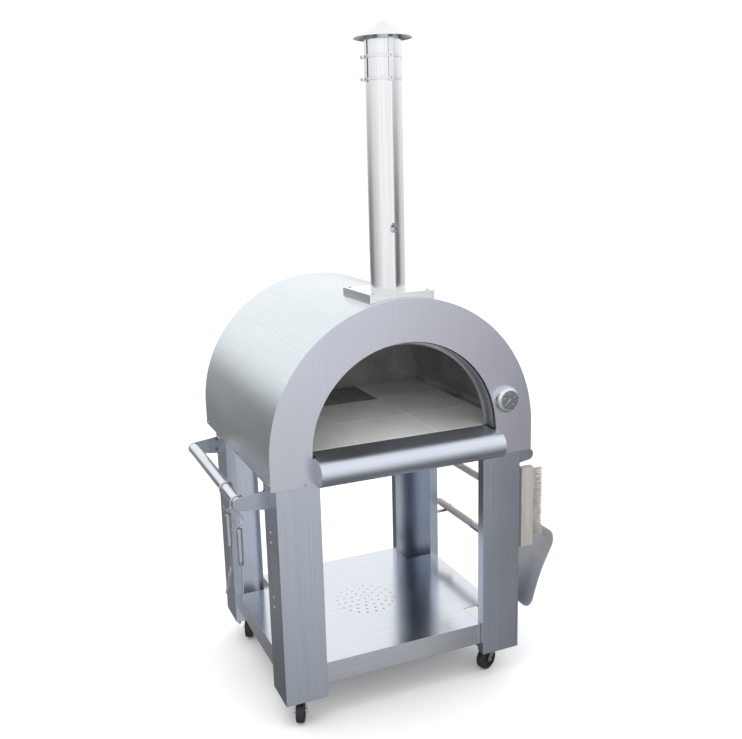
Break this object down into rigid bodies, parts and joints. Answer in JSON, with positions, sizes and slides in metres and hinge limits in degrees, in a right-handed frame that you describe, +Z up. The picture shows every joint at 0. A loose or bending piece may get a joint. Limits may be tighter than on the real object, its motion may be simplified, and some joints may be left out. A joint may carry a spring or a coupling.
{
  "type": "wood fired pizza oven",
  "caption": "Arched stainless wood fired pizza oven on a wheeled cart, with chimney, thermometer, landing shelf, side handles, hanging tools, brush and peel",
  "frame": {"origin": "bottom centre of the overall box, on the ground under the cart", "axes": "+Z up, the oven's mouth faces -Y, +X is the side with the thermometer, brush and peel"},
  "size_m": [1.0858, 0.8505, 2.119],
  "materials": {
    "bezel_steel": "polished",
    "bristle": "wire",
    "cap_steel": "brushed",
    "cast": "seasoned",
    "chimney_steel": "brushed",
    "chrome": "polished",
    "damper_steel": "brushed",
    "dial": "satin",
    "face_steel": "brushed",
    "fastener_steel": "brushed",
    "fork_steel": "zinc plated",
    "handle_steel": "brushed",
    "hidden_steel": "brushed",
    "landing_steel": "brushed",
    "leg_steel": "brushed",
    "lens": "clear",
    "liner_steel": "heat-dulled",
    "needle": "matt",
    "pedal_steel": "brushed",
    "peel_steel": "satin",
    "shelf_steel": "brushed",
    "shell_steel": "brushed",
    "strap_steel": "brushed",
    "throat_steel": "brushed",
    "tile": "matt fired clay",
    "tool_steel": "satin",
    "tread": "matt",
    "wood_brush": "bare",
    "wood_rod": "bare",
    "wool": "fibre"
  },
  "bodies": {
    "oven": {"outer_shell": "shell_steel", "face_plate": "face_steel", "mouth_throat": "throat_steel", "rear_panel": "shell_steel", "inner_liner": "liner_steel", "inner_back_wall": "liner_steel", "insulation": "wool", "base_pan": "hidden_steel", "floor_tiles": "tile", "floor_rails": "liner_steel", "landing_shelf": "landing_steel", "landing_end_caps": "landing_steel", "thermometer_bezel": "bezel_steel", "thermometer_dial": "dial", "thermometer_lens": "lens", "thermometer_probe": "tool_steel", "chimney_base": "chimney_steel", "flue_pipe": "chimney_steel", "cap_bands": "strap_steel", "cap_straps": "strap_steel", "rain_cap": "cap_steel", "leg_front_left": "leg_steel", "leg_front_right": "leg_steel", "leg_rear_left": "leg_steel", "leg_rear_right": "leg_steel", "foot_plates": "hidden_steel", "cart_rails": "hidden_steel", "lower_shelf": "shelf_steel", "handle_brackets": "handle_steel", "left_handle_bar": "handle_steel", "right_handle_bar": "handle_steel", "screws_and_bolts": "fastener_steel", "caster_top_plates": "fork_steel", "tool_holders": "handle_steel"},
    "fork_front_left": {"caster_fork_front_left": "fork_steel"},
    "wheel_front_left": {"caster_wheel_front_left": "tread"},
    "pedal_front_left": {"brake_pedal_front_left": "pedal_steel"},
    "fork_front_right": {"caster_fork_front_right": "fork_steel"},
    "wheel_front_right": {"caster_wheel_front_right": "tread"},
    "fork_rear_left": {"caster_fork_rear_left": "fork_steel"},
    "wheel_rear_left": {"caster_wheel_rear_left": "tread"},
    "pedal_rear_left": {"brake_pedal_rear_left": "pedal_steel"},
    "fork_rear_right": {"caster_fork_rear_right": "fork_steel"},
    "wheel_rear_right": {"caster_wheel_rear_right": "tread"},
    "damper": {"damper_disc": "damper_steel", "damper_rod": "damper_steel"},
    "needle": {"thermometer_needle": "needle"},
    "hook_front": {"s_hook_front": "chrome"},
    "scraper": {"scraper_grip": "chrome", "scraper_bar": "tool_steel"},
    "hook_rear": {"s_hook_rear": "chrome"},
    "turner": {"turner_grip": "chrome", "turner_blade": "tool_steel"},
    "brush": {"brush_block": "wood_brush", "brush_bristles": "bristle", "brush_handle": "wood_rod"},
    "peel": {"peel_blade": "peel_steel", "peel_ferrule": "chrome", "peel_handle": "wood_rod"},
    "grate": {"charcoal_grate": "cast"}
  },
  "joints": [
    {"name": "swivel_front_left", "type": "hinge", "parent": "oven", "child": "fork_front_left", "pos_m": [-0.35656, -0.2623, 0.0895], "axis": [0, 0, 1], "continuous": true},
    {"name": "roll_front_left", "type": "hinge", "parent": "fork_front_left", "child": "wheel_front_left", "pos_m": [-0.36673, -0.28514, 0.038], "axis": [0.9135, -0.4067, 0], "continuous": true},
    {"name": "brake_front_left", "type": "hinge", "parent": "fork_front_left", "child": "pedal_front_left", "pos_m": [-0.37887, -0.26003, 0.0735], "axis": [-0.4067, -0.9135, 0], "range_deg": [0, 15]},
    {"name": "swivel_front_right", "type": "hinge", "parent": "oven", "child": "fork_front_right", "pos_m": [0.34144, -0.2623, 0.0895], "axis": [0, 0, 1], "continuous": true},
    {"name": "roll_front_right", "type": "hinge", "parent": "fork_front_right", "child": "wheel_front_right", "pos_m": [0.31795, -0.27085, 0.038], "axis": [0.342, -0.9397, 0], "continuous": true},
    {"name": "swivel_rear_left", "type": "hinge", "parent": "oven", "child": "fork_rear_left", "pos_m": [-0.35656, 0.3237, 0.0895], "axis": [0, 0, 1], "continuous": true},
    {"name": "roll_rear_left", "type": "hinge", "parent": "fork_rear_left", "child": "wheel_rear_left", "pos_m": [-0.36673, 0.30086, 0.038], "axis": [0.9135, -0.4067, 0], "continuous": true},
    {"name": "brake_rear_left", "type": "hinge", "parent": "fork_rear_left", "child": "pedal_rear_left", "pos_m": [-0.37887, 0.32597, 0.0735], "axis": [-0.4067, -0.9135, 0], "range_deg": [0, 15]},
    {"name": "swivel_rear_right", "type": "hinge", "parent": "oven", "child": "fork_rear_right", "pos_m": [0.34144, 0.3237, 0.0895], "axis": [0, 0, 1], "continuous": true},
    {"name": "roll_rear_right", "type": "hinge", "parent": "fork_rear_right", "child": "wheel_rear_right", "pos_m": [0.35394, 0.34535, 0.038], "axis": [-0.866, 0.5, 0], "continuous": true},
    {"name": "damper_turn", "type": "hinge", "parent": "oven", "child": "damper", "pos_m": [-0.00756, -0.2293, 1.54], "axis": [0, 1, 0], "range_deg": [0, 90]},
    {"name": "needle_turn", "type": "hinge", "parent": "oven", "child": "needle", "pos_m": [0.33644, -0.3763, 0.984], "axis": [0, 1, 0], "range_deg": [0, 260]},
    {"name": "hook_front_swing", "type": "hinge", "parent": "oven", "child": "hook_front", "pos_m": [-0.51256, -0.2203, 0.742], "axis": [0, 1, 0], "range_deg": [-5, 20]},
    {"name": "scraper_swing", "type": "hinge", "parent": "hook_front", "child": "scraper", "pos_m": [-0.51256, -0.2203, 0.685], "axis": [0, 1, 0], "range_deg": [-5, 20]},
    {"name": "hook_rear_swing", "type": "hinge", "parent": "oven", "child": "hook_rear", "pos_m": [-0.51256, -0.0883, 0.742], "axis": [0, 1, 0], "range_deg": [-5, 20]},
    {"name": "turner_swing", "type": "hinge", "parent": "hook_rear", "child": "turner", "pos_m": [-0.51256, -0.0883, 0.685], "axis": [0, 1, 0], "range_deg": [-5, 20]},
    {"name": "brush_lift", "type": "slide", "parent": "oven", "child": "brush", "axis": [0, 0, 1], "range_m": [0, 0.03]},
    {"name": "peel_draw", "type": "slide", "parent": "oven", "child": "peel", "axis": [0, -1, 0], "range_m": [0, 0.05]},
    {"name": "grate_lift", "type": "slide", "parent": "oven", "child": "grate", "axis": [0, 0, 1], "range_m": [0, 0.05]}
  ]
}
